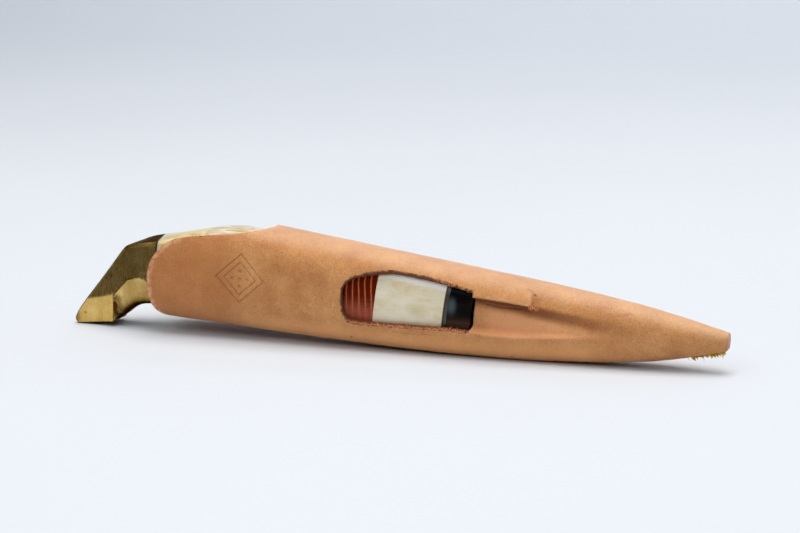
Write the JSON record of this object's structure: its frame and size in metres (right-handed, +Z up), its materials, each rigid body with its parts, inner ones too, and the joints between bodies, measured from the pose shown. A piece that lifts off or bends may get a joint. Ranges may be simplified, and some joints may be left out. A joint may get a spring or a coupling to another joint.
{
  "type": "puukko knife",
  "caption": "Small puukko with a handle of bone and red birch and a beaked brass pommel, in a wet-moulded leather sheath with a window and a belt loop.",
  "frame": {"origin": "middle of the bounding box's length and depth, at the surface that the sheathed knife rests on", "axes": "+X runs from the pommel to the toe of the sheath, +Y towards the belt loop on the back face, +Z up"},
  "size_m": [0.2135, 0.0356, 0.0355],
  "materials": {
    "blade": "ground carbon steel, fine lengthwise scratches",
    "horn": "polished black horn",
    "plate": "dull nickel silver, dark with age",
    "fibre": "dark vulcanised fibre",
    "front_bone": "polished bone, yellow spots with age",
    "red_birch": "curly birch dyed red and oiled",
    "white_bone": "polished bone, fine lengthwise streaks",
    "yellow_bone": "polished bone, yellow with age",
    "spacer": "black fibre",
    "brass": "worn brass, satin, fine scratches",
    "leather": "wet-moulded tan leather, worn smooth",
    "liner": "plain whittled birch",
    "thread": "waxed yellow linen thread",
    "strap": "tan leather, darker than the sheath",
    "lacing": "waxed dark lace"
  },
  "bodies": {
    "sheath": {"sheath_leather": "leather", "liner_near_half": "liner", "liner_far_half": "liner", "seam_thread": "thread", "belt_loop": "strap", "loop_lacing": "lacing"},
    "knife": {"blade": "blade", "front_bolster": "horn", "bolster_plate": "plate", "fibre_sheet": "fibre", "front_bone_block": "front_bone", "red_birch_block": "red_birch", "white_bone_block": "white_bone", "yellow_bone_block": "yellow_bone", "pommel_spacer": "spacer", "brass_pommel": "brass"}
  },
  "joints": [
    {"name": "knife_draw", "type": "slide", "parent": "sheath", "child": "knife", "axis": [-0.9983, 0, 0.0577], "range_m": [0, 0.175]}
  ]
}
